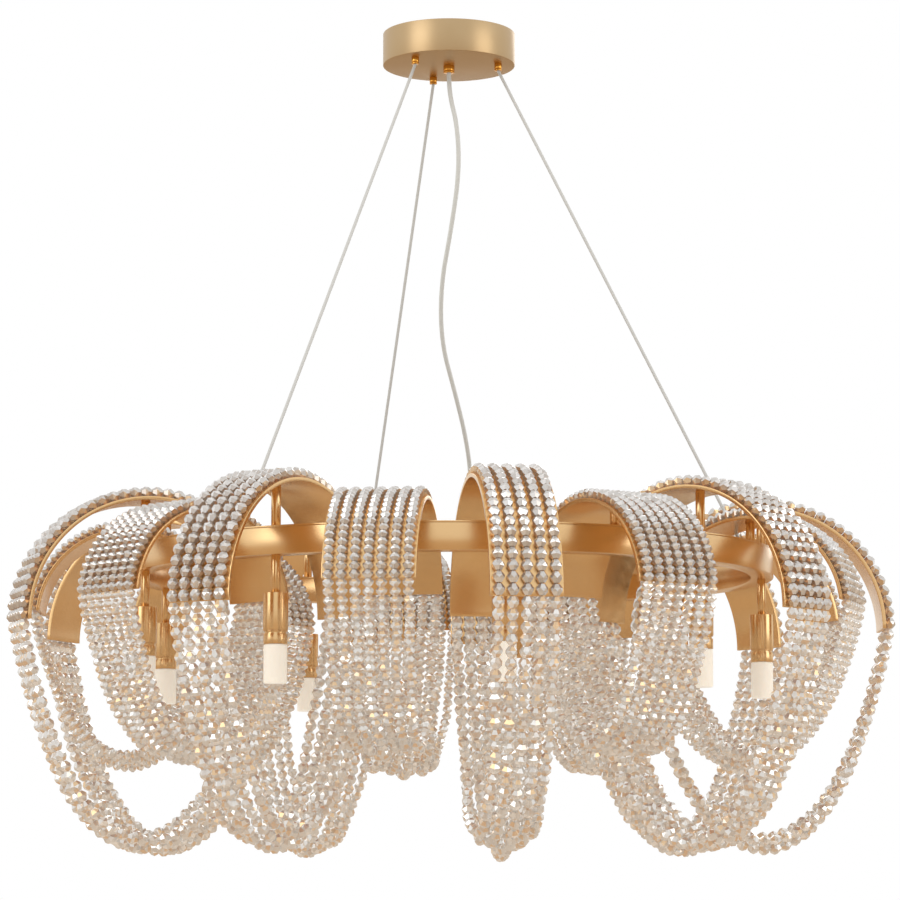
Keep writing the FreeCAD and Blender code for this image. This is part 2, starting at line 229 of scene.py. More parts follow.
@dataclass(frozen=True)
class PlatedGold(Finish):
    """Champagne gold plating on steel, brushed or polished, then lacquered.

    The plating is even and warm. Fine brushing widens its reflections, so that a
    softbox becomes a soft pale band and the gold beside it turns orange where it
    mirrors more gold.
    """

    light: str = "#ECC896"
    deep: str = "#E6BD86"
    cloud_mm: float = 45.0
    roughness: float = 0.24
    spread: float = 0.04
    grain_mm: float = 0.6
    relief_strength: float = 0.1
    relief_mm: float = 0.002

    def surface(self, tree: Tree) -> Dict[object, object]:
        """The gold, with cloudy colour, uneven polish and a fine satin grain."""
        clouds = noise(tree, self.cloud_mm, detail=3.0)
        satin = noise(tree, self.grain_mm)
        return {
            "Metallic": 1.0,
            "Base Color": blend(tree, clouds, self.deep, self.light),
            "Roughness": between(tree, satin, self.roughness - self.spread,
                                 self.roughness + self.spread),
            "Normal": relief(tree, satin, self.relief_strength, self.relief_mm)}


@dataclass(frozen=True)
class CutCrystal(Finish):
    """Machine-cut crystal beads under a pale champagne lustre coating.

    The lustre makes each facet a small mirror, and each facet's base colour is painted
    by its
    tone: most get the pale tint with a painted reflection of the room, a few a painted
    highlight, some a painted shade, and those of a seated bead that look sideways or
    back a painted reflection of the gold. What it lets through is clear, and a painted
    glow, stronger on a bead that hangs free, stands for the daylight behind it.
    """

    # Ramp colours: a painted gold reflection, a painted shade, the beads' pale tint
    # with a painted room reflection, and a painted highlight.
    painted_gold_reflection: str = "#E4BF90"
    painted_shade: str = "#D3CBC4"
    pale: str = "#E4E1DD"
    painted_highlight: str = "#FBF9F7"
    # The beads' painted glow: its colour, weak on the band and stronger on free-hanging
    # beads.
    glow: str = "#EFEEE7"
    painted_gold_reflection_up_to: float = 0.05
    painted_shade_at: float = 0.25
    pale_range: Tuple[float, float] = (0.45, 0.76)
    painted_highlight_from: float = 0.92
    lustre: float = 0.62
    transmission: float = 0.7
    refraction: float = 1.54
    painted_band_glow: float = 0.04
    painted_loop_glow: float = 0.11
    haze_mm: float = 4.0
    polish: Tuple[float, float] = (0.02, 0.09)

    def surface(self, tree: Tree) -> Dict[object, object]:
        """The crystal: each facet's tone picks its pale tint, painted reflection,
        highlight or shade, and every bead gets a painted glow.
        """
        # Each facet's tone picks its painted gold reflection, painted shade, pale tint
        # or painted highlight from the ramp.
        tone = add_node(tree, "ShaderNodeAttribute", {"attribute_name": PAINTED_FACET_TONE})
        ramp = add_node(tree, "ShaderNodeValToRGB", None, {"Fac": tone.outputs["Fac"]})
        stops = ramp.color_ramp.elements
        stops[0].position, stops[0].color = self.painted_gold_reflection_up_to, linear(self.painted_gold_reflection)
        stops[1].position, stops[1].color = self.painted_highlight_from, linear(self.painted_highlight)
        stops.new(self.painted_shade_at).color = linear(self.painted_shade)
        for position in self.pale_range:
            stops.new(position).color = linear(self.pale)
        # The painted glow is stronger on beads that hang free.
        free = add_node(tree, "ShaderNodeAttribute", {"attribute_name": PAINTED_GLOW_SHARE})
        return {
            "Base Color": ramp.outputs["Color"],
            "IOR": self.refraction,
            "Metallic": self.lustre,
            "Roughness": between(tree, noise(tree, self.haze_mm), *self.polish),
            "Transmission Weight": self.transmission,
            "Emission Color": linear(self.glow),
            "Emission Strength": between(tree, free.outputs["Fac"], self.painted_band_glow,
                                         self.painted_loop_glow)}


@dataclass(frozen=True)
class FrostedGlass(Finish):
    """Acid-frosted lamp glass, milky and cream, lit evenly from inside."""

    cream: str = "#F4EDE0"
    warm: str = "#EFE5D3"
    glow: str = "#FFF5E6"
    glow_strength: float = 0.31
    refraction: float = 1.5
    milkiness: float = 0.3
    milk_reach: Point = (6 * MM, 5 * MM, 4 * MM)
    frost_mm: float = 1.2
    polish: Tuple[float, float] = (0.45, 0.6)

    def surface(self, tree: Tree) -> Dict[object, object]:
        """The frosted glass, with a faint unevenness in its cream."""
        frost = noise(tree, self.frost_mm)
        return {
            "Base Color": blend(tree, frost, self.cream, self.warm),
            "IOR": self.refraction,
            "Roughness": between(tree, frost, *self.polish),
            "Subsurface Weight": self.milkiness,
            "Subsurface Radius": self.milk_reach,
            "Subsurface Scale": 1.0,
            "Emission Color": linear(self.glow),
            "Emission Strength": self.glow_strength}


@dataclass(frozen=True)
class Mottled(Finish):
    """A plain opaque stuff: moulded plastic, fired ceramic, sheathing or zinc.

    Its surface has a slight mottle and a small relief of one grain size.
    """

    light: str = "#D8D6D0"
    dark: str = "#C6C4BD"
    metallic: float = 0.0
    roughness: float = 0.5
    spread: float = 0.08
    grain_mm: float = 1.5
    relief_strength: float = 0.4
    relief_mm: float = 0.03

    def surface(self, tree: Tree) -> Dict[object, object]:
        """The stuff, with its mottle in colour, polish and relief."""
        mottle = noise(tree, self.grain_mm, detail=3.0)
        return {
            "Metallic": self.metallic,
            "Base Color": blend(tree, mottle, self.dark, self.light),
            "Roughness": between(tree, mottle, self.roughness - self.spread,
                                 self.roughness + self.spread),
            "Normal": relief(tree, mottle, self.relief_strength, self.relief_mm)}


class Stuff(Enum):
    """What the pieces of the chandelier are made of."""

    SATIN_GOLD = PlatedGold("satin champagne gold", "satin_gold")
    BRUSHED_GOLD = PlatedGold(
        "brushed champagne gold", "satin_gold", light="#C8AE88", deep="#BEA178",
        roughness=0.36, spread=0.05)
    POLISHED_GOLD = PlatedGold(
        "polished gold fittings", "polished_gold", light="#E6AC52", deep="#DE9F42",
        roughness=0.14, spread=0.03, grain_mm=2.5)
    CRYSTAL = CutCrystal("cut crystal", "bead_crystal")
    BEAD_WIRE = Mottled(
        "gilt bead wire", "bead_crystal", light="#CFA876", dark="#B88C57",
        roughness=0.35, grain_mm=0.8)
    FROSTED = FrostedGlass("frosted lamp glass", "frosted_glass")
    CERAMIC = Mottled(
        "glazed ceramic holder", "holder_ceramic", light="#ECE9E2", dark="#E0DCD3",
        roughness=0.3, grain_mm=3.0)
    CABLE = Mottled(
        "sleeved steel cable", "cable_sleeve", light="#DAD8D3", dark="#C6C4BE",
        roughness=0.42, grain_mm=1.2)
    CORD = Mottled(
        "soft cord sheath", "cord_sheath", light="#E6E5E0", dark="#D8D8D1",
        roughness=0.45, grain_mm=1.6)
    ZINC = Mottled(
        "zinc-plated steel", "zinc_steel", light="#BFC1C4", dark="#A3A6AB",
        metallic=1.0, roughness=0.4, grain_mm=4.0)
    PLASTIC = Mottled(
        "moulded terminal plastic", "terminal_plastic", light="#E9E7E1",
        dark="#DEDBD3", roughness=0.5, grain_mm=0.9)


# ---------------------------------------------------------------- modelling by hand
UPRIGHT = 0.9


def looks_up(face: bmesh.types.BMFace) -> bool:
    """Whether a face looks up."""
    return face.normal.z > UPRIGHT


def looks_down(face: bmesh.types.BMFace) -> bool:
    """Whether a face looks down."""
    return face.normal.z < -UPRIGHT


class Bench:
    """Mesh modelling with operators, on one piece at a time."""

    @staticmethod
    def clear() -> None:
        """Leave edit mode and deselect everything."""
        active = bpy.context.view_layer.objects.active
        if active is not None and active.mode != "OBJECT":
            bpy.ops.object.mode_set(mode="OBJECT")
        bpy.ops.object.select_all(action="DESELECT")

    @classmethod
    def take(cls, piece: Piece) -> None:
        """Select one piece alone and make it the active one."""
        cls.clear()
        piece.select_set(True)
        bpy.context.view_layer.objects.active = piece

    @staticmethod
    def add(name: str, data: bpy.types.ID) -> Piece:
        """Put a mesh, a curve, a light or a camera into the scene."""
        piece = bpy.data.objects.new(name, data)
        bpy.context.scene.collection.objects.link(piece)
        return piece

    @staticmethod
    def settle(name: str) -> Piece:
        """Name the new primitive and put its place into its mesh."""
        piece = bpy.context.view_layer.objects.active
        piece.name = name
        piece.data.name = name
        bpy.ops.object.transform_apply(location=True, rotation=True, scale=True)
        return piece

    @classmethod
    def cylinder(cls, name: str, radius: float, bottom: float, top: float,
                 at: Tuple[float, float] = (0.0, 0.0), sides: int = 64) -> Piece:
        """Add an upright cylinder between two levels.

        Args:
            name: The piece's name.
            radius: Its radius.
            bottom: The level of its lower face.
            top: The level of its upper face.
            at: Where its axis stands.
            sides: How many flats its wall has.

        Returns:
            The new piece, at the origin with its place in its mesh.
        """
        cls.clear()
        bpy.ops.mesh.primitive_cylinder_add(
            vertices=sides, radius=radius, depth=top - bottom,
            location=(at[0], at[1], (top + bottom) / 2))
        return cls.settle(name)

    @classmethod
    def block(cls, name: str, low: Point, high: Point) -> Piece:
        """Add a block between its low and high corners."""
        cls.clear()
        middle = [(a + b) / 2 for a, b in zip(low, high)]
        bpy.ops.mesh.primitive_cube_add(size=1.0, location=middle)
        bpy.context.view_layer.objects.active.scale = [b - a for a, b in zip(low, high)]
        return cls.settle(name)

    @classmethod
    def pick(cls, piece: Piece, test: Callable[[object], bool],
             kind: str = "FACE") -> None:
        """Enter edit mode with only the faces or edges that pass a test selected.

        Args:
            piece: The piece to edit.
            test: Says of one face, or of one edge, whether it is picked.
            kind: "FACE" or "EDGE".
        """
        cls.take(piece)
        bpy.ops.object.mode_set(mode="EDIT")
        bpy.ops.mesh.select_mode(type=kind)
        bpy.ops.mesh.select_all(action="DESELECT")
        mesh = bmesh.from_edit_mesh(piece.data)
        for element in mesh.faces if kind == "FACE" else mesh.edges:
            element.select_set(test(element))
        bmesh.update_edit_mesh(piece.data)

    @staticmethod
    def cut(place: Point, way: Point, **options: bool) -> None:
        """Cut the whole mesh in edit mode along a plane."""
        bpy.ops.mesh.select_all(action="SELECT")
        bpy.ops.mesh.bisect(plane_co=place, plane_no=way, **options)

    @staticmethod
    def extrude(*offset: float) -> None:
        """Extrude the picked faces by an offset along x, y and z."""
        bpy.ops.mesh.extrude_region_move(TRANSFORM_OT_translate={"value": offset})

    @staticmethod
    def widen(share: float, middle: Point) -> None:
        """Make what is picked wider or narrower at its level, about a middle."""
        bpy.ops.transform.resize(value=(share, share, 1.0), center_override=middle)

    @staticmethod
    def point_outwards() -> None:
        """Point every face of the mesh in edit mode outwards."""
        bpy.ops.mesh.select_all(action="SELECT")
        bpy.ops.mesh.normals_make_consistent(inside=False)

    @classmethod
    def hollow(cls, piece: Piece, wall: float, depth: float,
               upwards: bool = False) -> None:
        """Sink a round or square well into a piece's top or, upwards, its underside."""
        way = -1.0 if upwards else 1.0
        level = max(v.co.z * way for v in piece.data.vertices) * way
        cls.pick(piece, lambda face: face.normal.z * way > UPRIGHT
                 and abs(face.calc_center_median().z - level) < NEARLY)
        bpy.ops.mesh.inset(thickness=wall)
        cls.extrude(0.0, 0.0, -way * depth)
        cls.clear()

    @classmethod
    def bore(cls, piece: Piece, wall: float) -> None:
        """Cut a hole right through a round piece and leave it a wall."""
        cls.pick(piece, lambda face: abs(face.normal.z) > UPRIGHT)
        bpy.ops.mesh.inset(thickness=wall)
        bpy.ops.mesh.bridge_edge_loops()
        cls.clear()

    @classmethod
    def soften(cls, piece: Piece, width: float, segments: int = 2,
               corner: float = 35.0) -> None:
        """Round a piece's sharp edges, smooth its faces and point them outwards.

        Args:
            piece: The piece to finish.
            width: How far the rounding reaches from each edge.
            segments: How many faces the rounding has.
            corner: The least angle, in degrees, of an edge that is rounded.
        """
        cls.take(piece)
        rounding = piece.modifiers.new("rounded edges", "BEVEL")
        rounding.width = width
        rounding.segments = segments
        rounding.limit_method = "ANGLE"
        rounding.angle_limit = math.radians(corner)
        bpy.ops.object.modifier_apply(modifier=rounding.name)
        bpy.ops.object.mode_set(mode="EDIT")
        cls.point_outwards()
        bpy.ops.object.mode_set(mode="OBJECT")
        bpy.ops.object.shade_smooth_by_angle(angle=math.radians(corner))
        cls.clear()

    @classmethod
    def join(cls, pieces: Sequence[Piece], name: str) -> Piece:
        """Join several pieces of one node and finish into one object."""
        cls.clear()
        for piece in pieces:
            piece.select_set(True)
        bpy.context.view_layer.objects.active = pieces[0]
        bpy.ops.object.join()
        joined = bpy.context.view_layer.objects.active
        joined.name = name
        joined.data.name = name
        cls.clear()
        return joined

    @staticmethod
    def scrap(master: Piece) -> None:
        """Remove a piece that was only the model for its copies."""
        mesh = master.data
        bpy.data.objects.remove(master)
        bpy.data.meshes.remove(mesh)

    @classmethod
    def repeat(cls, master: Piece, name: str, places: Sequence[Matrix]) -> List[Piece]:
        """Copy a piece to several places, each with its own mesh, and scrap it.

        Args:
            master: The piece, which is only the model for its copies.
            name: The copies' name, with %d for a copy's number from 1 up.
            places: The move that goes into each copy's mesh.

        Returns:
            The copies, in the order of their places.
        """
        copies = []
        for number, place in enumerate(places, 1):
            mesh = master.data.copy()
            mesh.transform(place)
            mesh.name = name % number
            copies.append(cls.add(name % number, mesh))
        cls.scrap(master)
        return copies


def dress(piece: Piece, stuff: Stuff, nodes: Sequence[str],
          body: str = ROOT_BODY) -> None:
    """Give a new piece its finish, its body and the nodes that it stands for."""
    piece.data.materials.clear()
    piece.data.materials.append(stuff.value.material())
    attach(piece, body)
    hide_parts(*nodes)
    log.info("%s stands for %s on %s", piece.name, ", ".join(nodes), body)


# ---------------------------------------------------------------- studio
@dataclass
class Studio:
    """The camera of the photograph, a pale floor and plain soft light."""

    camera_place: Point = (0.0, -3.7439, -0.9495)
    camera_pitch: float = 5.645
    lens_mm: float = 133.97
    shift: Tuple[float, float] = (0.0012, 0.1)
    sight: float = 1000.0
    floor_level: float = -3.6
    floor_size: float = 400.0
    floor_colour: str = "#DDDAD6"
    floor_warmth: str = "#EFD6BA"
    floor_whiteness: float = 0.85
    floor_mirrored: float = 0.76
    white: str = "#FFFFFF"
    ambient: float = 1.0
    mirrored: float = 0.95
    aim: Point = (0.0, 0.0, -0.6)
    # Each softbox's name, place, size and power in watts
    softboxes: Tuple[Tuple[str, Point, float, float], ...] = (
        ("front left softbox", (-3.2, -2.6, 0.9), 2.4, 24.0),
        ("front right softbox", (3.4, -1.8, 0.3), 2.0, 16.0),
        ("back softbox", (0.6, 3.4, 0.9), 2.4, 24.0))

    def set_camera(self) -> None:
        """Place the camera at the photograph's viewing angle."""
        data = bpy.data.cameras.new("camera")
        data.lens = self.lens_mm
        data.shift_x, data.shift_y = self.shift
        data.clip_end = self.sight
        camera = Bench.add("camera", data)
        camera.location = self.camera_place
        camera.rotation_euler = (math.radians(90.0 + self.camera_pitch), 0.0, 0.0)
        bpy.context.scene.camera = camera

    @staticmethod
    def rays(tree: Tree) -> Tuple[Socket, Socket]:
        """Whether the background is seen, and whether it is mirrored.

        Returns:
            1 where it is seen straight or through glass, and 1 where it is mirrored.
        """
        path = add_node(tree, "ShaderNodeLightPath").outputs
        seen = reckon(tree, "MAXIMUM", path["Is Camera Ray"],
                      path["Is Transmission Ray"])
        return seen, path["Is Glossy Ray"]

    def set_world(self) -> None:
        """A white room that lights softly and shows white to the eye and in metal."""
        world = bpy.data.worlds.new("white room")
        world.use_nodes = True
        tree = world.node_tree
        seen, mirror = self.rays(tree)
        strength = between(tree, mirror, self.ambient, self.mirrored)
        plug(tree, tree.nodes["Background"], {
            "Color": linear(self.white),
            "Strength": between(tree, seen, strength, 1.0)})
        bpy.context.scene.world = world

    def set_floor(self) -> None:
        """A plain pale floor, well below the lamp."""
        Bench.clear()
        bpy.ops.mesh.primitive_plane_add(size=self.floor_size,
                                         location=(0.0, 0.0, self.floor_level))
        floor = Bench.settle("floor")
        material = bpy.data.materials.new("pale floor")
        material.use_nodes = True
        tree = material.node_tree
        tree.nodes.remove(tree.nodes["Principled BSDF"])
        seen, mirror = self.rays(tree)
        whiteness = reckon(tree, "MULTIPLY", seen, self.floor_whiteness)
        matte = add_node(tree, "ShaderNodeBsdfDiffuse", None,
                         {"Color": linear(self.floor_colour)})
        glow = add_node(tree, "ShaderNodeEmission", None, {
            "Color": blend(tree, mirror, self.white, self.floor_warmth),
            "Strength": between(tree, mirror, 1.0, self.floor_mirrored)})
        mixed = add_node(tree, "ShaderNodeMixShader", None, {
            0: reckon(tree, "MAXIMUM", whiteness, mirror),
            1: matte.outputs[0], 2: glow.outputs[0]})
        plug(tree, tree.nodes["Material Output"], {"Surface": mixed.outputs[0]})
        floor.data.materials.append(material)

    def set_softboxes(self) -> None:
        """Square softboxes that face the middle of the lamp."""
        for name, place, size, power in self.softboxes:
            data = bpy.data.lights.new(name, "AREA")
            data.shape = "SQUARE"
            data.size = size
            data.energy = power
            light = Bench.add(name, data)
            light.location = place
            way = Vector(self.aim) - Vector(place)
            light.rotation_euler = way.to_track_quat("-Z", "Y").to_euler()

    def build(self) -> None:
        """Set up the camera, the room, the floor and the softboxes."""
        self.set_camera()
        self.set_world()
        self.set_floor()
        self.set_softboxes()
        bpy.context.scene.view_settings.view_transform = "Standard"


# ---------------------------------------------------------------- cables and cord
@dataclass
class Suspension:
    """The three steel cables and the loosely hung power cord."""

    cable_diameter: float = 3.5 * MM
    lug_radius: float = 334 * MM
    cord_diameter: float = 5.2 * MM
    cord_length: float = 672 * MM

    # The power cord's way from the gland to the bush on the ring, point by point
    CORD_ROUTE = (
        (0.0, 0.0, -0.045),
        (0.0, 0.0, -0.068),
        (0.0095, 0.0035, -0.104),
        (0.012, 0.022, -0.153),
        (0.003, 0.058, -0.212),
        (-0.0095, 0.103, -0.272),
        (-0.009, 0.150, -0.331),
        (0.007, 0.200, -0.383),
        (0.0205, 0.250, -0.431),
        (0.0275, 0.297, -0.477),
        (0.020, 0.334, -0.522),
        (0.011, 0.350, -0.561),
        (0.011, 0.350, -0.589),
    )

    @staticmethod
    def line(name: str, points: Sequence[Point], diameter: float) -> Piece:
        """Draw a round cord along a smooth spline through its control points."""
        curve = bpy.data.curves.new(name, "CURVE")
        curve.dimensions = "3D"
        curve.bevel_depth = diameter / 2
        curve.bevel_resolution = 4
        curve.resolution_u = 12
        curve.use_fill_caps = True
        spline = curve.splines.new("NURBS")
        spline.points.add(len(points) - 1)
        for control, point in zip(spline.points, points):
            control.co = (*point, 1.0)
        spline.order_u = 3
        spline.use_endpoint_u = True
        return Bench.add(name, curve)

    def cable_points(self, azimuth: float) -> List[Point]:
        """The way of one cable: straight from its gripper down to its lug."""
        top = Vector((GRIPPER_CIRCLE, 0.0, FITTING_BOTTOM))
        foot = Vector((self.lug_radius, 0.0, LUG_TOP))
        turn = turned(azimuth)
        return [tuple(turn @ point) for point in (top, (top + foot) / 2, foot)]

    def build(self) -> None:
        """Hang the cables and the cord."""
        for number, azimuth in enumerate(CABLE_AZIMUTHS, 1):
            points = self.cable_points(azimuth)
            cable = self.line("cable_%d" % number, points, self.cable_diameter)
            dress(cable, Stuff.CABLE, ["suspension_cable_%d" % number])
        cord = self.line("cord", self.CORD_ROUTE, self.cord_diameter)
        dress(cord, Stuff.CORD, ["power_cord"])


# ---------------------------------------------------------------- ceiling fitting
@dataclass
class CeilingFitting:
    """The canopy with the fittings below it, and the lugs and the bush on the ring."""

    canopy_radius: float = 75 * MM
    canopy_top: float = -0.5 * MM
    canopy_wall: float = 1.5 * MM
    canopy_floor: float = 2 * MM
    canopy_rounding: float = 0.5 * MM
    canopy_sides: int = 128
    gripper_radius: float = 4.25 * MM
    gland_radius: float = 6.4 * MM
    lip_height: float = 1.6 * MM
    lip_inset: float = 0.45 * MM
    ferrule_rounding: float = 0.25 * MM
    bush_radius: float = 5.5 * MM
    bush_rounding: float = 1.2 * MM
    turned_sides: int = 32
    lug_low: Point = (330.5 * MM, -5 * MM, -616 * MM)
    lug_high: Point = (337.6 * MM, 5 * MM, LUG_TOP)
    lug_rounding: float = 1.0 * MM

    def canopy(self) -> Piece:
        """The can: a wall and a floor with softly rounded rims."""
        can = Bench.cylinder("canopy", self.canopy_radius, CANOPY_BOTTOM,
                             self.canopy_top, sides=self.canopy_sides)
        depth = self.canopy_top - CANOPY_BOTTOM - self.canopy_floor
        Bench.hollow(can, self.canopy_wall, depth)
        Bench.soften(can, self.canopy_rounding, 3)
        return can

    def ferrule(self, name: str, radius: float, at: Tuple[float, float]) -> Piece:
        """A turned ferrule under the canopy: a drum, a narrow neck and a lip."""
        neck_top = FITTING_BOTTOM + self.lip_height + self.lip_inset
        drum = Bench.cylinder(name, radius, neck_top, CANOPY_BOTTOM, at,
                              self.turned_sides)
        Bench.pick(drum, looks_down)
        bpy.ops.mesh.inset(thickness=self.lip_inset)
        Bench.extrude(0.0, 0.0, -self.lip_inset)
        Bench.extrude(0.0, 0.0, 0.0)
        Bench.widen(radius / (radius - self.lip_inset),
                    (at[0], at[1], neck_top - self.lip_inset))
        Bench.extrude(0.0, 0.0, -self.lip_height)
        Bench.soften(drum, self.ferrule_rounding)
        return drum

    def lug(self, azimuth: float) -> Piece:
        """A lug on the ring's inner wall, that a cable's end is pressed into."""
        lug = Bench.block("lug", self.lug_low, self.lug_high)
        Bench.soften(lug, self.lug_rounding)
        lug.data.transform(turned(azimuth))
        return lug

    def bush(self) -> Piece:
        """The bush on the ring's lid, round the cord's lower end."""
        x, y, top = Suspension.CORD_ROUTE[-1]
        bush = Bench.cylinder("bush", self.bush_radius, RING_TOP, top, (x, y),
                              self.turned_sides)
        Bench.soften(bush, self.bush_rounding, 3)
        return bush

    def build(self) -> None:
        """Make and dress the canopy and what holds the cables and the cord."""
        dress(self.canopy(), Stuff.BRUSHED_GOLD, ["canopy_cover"])
        grippers = []
        for azimuth in CABLE_AZIMUTHS:
            place = turned(azimuth) @ Vector((GRIPPER_CIRCLE, 0.0, 0.0))
            grippers.append(self.ferrule("gripper", self.gripper_radius,
                                         (place.x, place.y)))
        lugs = [self.lug(azimuth) for azimuth in CABLE_AZIMUTHS]
        fittings = Bench.join(grippers + lugs, "grippers_and_lugs")
        dress(fittings, Stuff.POLISHED_GOLD, ["cable_fittings"])
        gland = self.ferrule("gland", self.gland_radius, (0.0, 0.0))
        outlets = Bench.join([gland, self.bush()], "cord_outlets")
        dress(outlets, Stuff.POLISHED_GOLD, ["cord_gland"])


# ---------------------------------------------------------------- ring
@dataclass
class Ring:
    """The ring: a U-shaped channel under a flat lid."""

    width: float = 25 * MM
    wall: float = 2 * MM
    lid: float = 2 * MM
    rounding: float = 0.5 * MM
    sides: int = 180

    def tube(self, name: str, bottom: float, top: float) -> Piece:
        """A flat-ended tube as wide as the ring, between two levels."""
        tube = Bench.cylinder(name, RING_MIDDLE_RADIUS + self.width / 2, bottom, top,
                              sides=self.sides)
        Bench.bore(tube, self.width)
        return tube

    def build(self) -> None:
        """Make and dress the channel, its trough cut from above, and its lid."""
        channel_top = RING_TOP - self.lid
        channel = self.tube("ring_shell", RING_BOTTOM, channel_top)
        Bench.pick(channel, looks_up)
        bpy.ops.mesh.inset(thickness=self.wall)
        Bench.extrude(0.0, 0.0, -(channel_top - RING_BOTTOM - self.wall))
        Bench.soften(channel, self.rounding)
        dress(channel, Stuff.SATIN_GOLD, ["ring_channel"])
        cover = self.tube("ring_lid", channel_top, RING_TOP)
        Bench.soften(cover, self.rounding)
        dress(cover, Stuff.SATIN_GOLD, ["ring_cover"])


# ---------------------------------------------------------------- arches
@dataclass
class ArchBand:
    """A half-round band with a lip along both edges, twisted a little off radial."""

    kind: ArchKind
    radius: float
    centre_radius: float
    centre_level: float
    end_rise: float
    twist: float
    width: float
    plate: float = 3 * MM
    lip_height: float = 1.0 * MM
    lip_width: float = 1.0 * MM
    rounding: float = 0.3 * MM
    leeway: float = 0.01 * MM
    steps: int = 72

    @property
    def foot(self) -> float:
        """The level of the band's two ends."""
        return self.centre_level + self.end_rise

    def places(self) -> List[Matrix]:
        """The moves of a piece drawn with the arch along +X to each of its arches."""
        middle = Vector((self.centre_radius, 0.0, 0.0))
        twist = Matrix.Rotation(math.radians(self.twist), 4, "Z")
        return [turn @ Matrix.Translation(middle) @ twist @ Matrix.Translation(-middle)
                for turn in self.kind.turns()]

    def band(self) -> Piece:
        """Shape the band's section, spin it over the arch and cut its ends level."""
        inner = self.centre_radius + self.radius - self.plate
        outer = self.centre_radius + self.radius
        lip = self.width / 2 - self.lip_width
        Bench.clear()
        bpy.ops.mesh.primitive_plane_add(
            size=1.0, location=((inner + outer) / 2, 0.0, self.centre_level))
        bpy.context.view_layer.objects.active.scale = (self.plate, self.width, 1.0)
        band = Bench.settle("%s_band" % self.kind.value)
        bpy.ops.object.mode_set(mode="EDIT")
        for side in (-lip, lip):
            Bench.cut((outer, side, 0.0), (0.0, 1.0, 0.0))
        Bench.pick(band, lambda edge: all(
            v.co.x > outer - self.leeway and abs(v.co.y) > lip - self.leeway
            for v in edge.verts), "EDGE")
        bpy.ops.mesh.extrude_edges_move(
            TRANSFORM_OT_translate={"value": (self.lip_height, 0.0, 0.0)})
        bpy.ops.mesh.select_all(action="SELECT")
        bpy.ops.mesh.spin(steps=self.steps, angle=math.pi,
                          center=(self.centre_radius, 0.0, self.centre_level),
                          axis=(0.0, 1.0, 0.0))
        bpy.ops.mesh.select_all(action="SELECT")
        bpy.ops.mesh.remove_doubles(threshold=NEARLY)
        Bench.point_outwards()
        if self.end_rise > 0.0:
            Bench.cut((0.0, 0.0, self.foot), (0.0, 0.0, 1.0), clear_inner=True,
                      use_fill=True)
        Bench.soften(band, self.rounding)
        return band

    def build(self) -> None:
        """Make all bands of this kind."""
        kind = self.kind.value
        bands = Bench.repeat(self.band(), kind + "_band_%d", self.places())
        for number, band in enumerate(bands, 1):
            dress(band, Stuff.SATIN_GOLD, ["%s_arch_%d" % (kind, number)])


# ---------------------------------------------------------------- beads
def catenary_size(half_span: float, sag: float, reach: float = 50.0,
                  halvings: int = 60, steepest: float = 600.0) -> float:
    """Find the size of the catenary in which a chain hangs.

    Args:
        half_span: Half the distance between its two ends.
        sag: How far its lowest point lies below them.
        reach: The search runs from this share of the half span to so many times it.
        halvings: How often the search halves its range.
        steepest: The steepest chain that it looks at, which keeps cosh in range.

    Returns:
        The radius of the curve at its lowest point.
    """
    low, high = half_span / reach, half_span * reach
    for _ in range(halvings):
        size = (low + high) / 2
        if size * (math.cosh(min(half_span / size, steepest)) - 1) > sag:
            low = size
        else:
            high = size
    return size


def values_of(elements: object, name: str, kind: type, width: int = 1) -> np.ndarray:
    """One property of every vertex, corner or face of a mesh, a row for each."""
    values = np.empty(len(elements) * width, kind)
    elements.foreach_get(name, values)
    return values.reshape(-1, width) if width > 1 else values


def add_elements(elements: object, name: str, values: np.ndarray,
                 width: int = 1) -> None:
    """Add vertices, corners or faces to a mesh with one property of each."""
    elements.add(values.size // width)
    elements.foreach_set(name, values.ravel())


